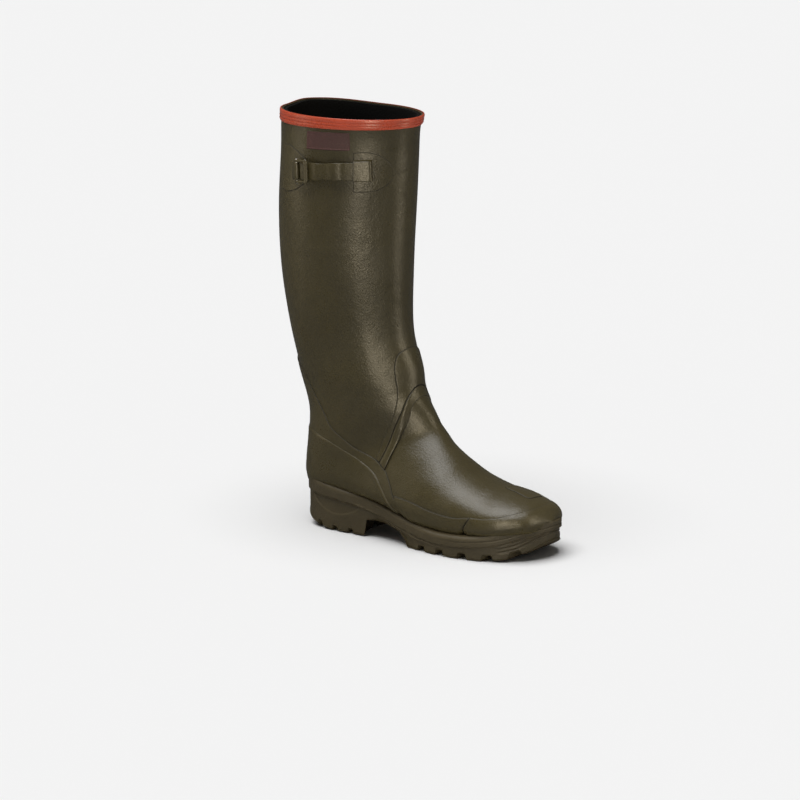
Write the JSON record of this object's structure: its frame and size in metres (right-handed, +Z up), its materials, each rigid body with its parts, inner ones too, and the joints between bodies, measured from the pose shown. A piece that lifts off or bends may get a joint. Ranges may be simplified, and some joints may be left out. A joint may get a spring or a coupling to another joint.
{
  "type": "insulated rubber boot",
  "caption": "Knee-high insulated rubber boot with a ribbed red rim band, side adjuster strap with buckle, moulded reinforcements and a cleated heeled sole.",
  "frame": {"origin": "under the middle of the bounding box, on the ground", "axes": "+X from heel to toe, +Y towards the inner side of the foot, +Z up the leg"},
  "size_m": [0.3304, 0.1235, 0.4327],
  "materials": {
    "olive_rubber": "satin, fine grain",
    "overlay_rubber": "satin",
    "band_rubber": "satin, ribbed",
    "sole_rubber": "matte",
    "foam_lining": "matte knit over foam",
    "label": "matte",
    "foam_core": "matte foam",
    "board": "matte fibre board",
    "stiffener": "matte",
    "steel": "brushed"
  },
  "bodies": {
    "boot": {"leg_shell": "olive_rubber", "vamp_shell": "olive_rubber", "leg_lining": "foam_lining", "foot_lining": "foam_lining", "toe_stiffener": "stiffener", "heel_stiffener": "stiffener", "heel_stay": "overlay_rubber", "heel_cover": "overlay_rubber", "ankle_front": "overlay_rubber", "instep_rib": "overlay_rubber", "side_foxing_outer": "overlay_rubber", "side_foxing_inner": "overlay_rubber", "toe_cap": "overlay_rubber", "toe_patch": "overlay_rubber", "top_band": "band_rubber", "label_patch": "label", "outsole": "sole_rubber", "midsole": "foam_core", "heel_core": "foam_core", "shank": "steel", "insole_board": "board", "footbed": "foam_core", "strap_patch": "overlay_rubber", "buckle_patch": "overlay_rubber", "buckle_bar": "steel", "buckle_chape": "overlay_rubber"},
    "strap": {"strap": "olive_rubber"},
    "buckle": {"buckle_frame": "overlay_rubber"}
  },
  "joints": [
    {"name": "buckle_swing", "type": "hinge", "parent": "boot", "child": "buckle", "pos_m": [-0.10671, -0.05656, 0.3749], "axis": [0.0784, -0.0523, -0.9956], "range_deg": [0, 55]},
    {"name": "strap_pull", "type": "hinge", "parent": "boot", "child": "strap", "pos_m": [-0.08625, 0.03884, 0.3715], "axis": [-0.0784, 0.0523, 0.9956], "range_deg": [0, 4]}
  ]
}
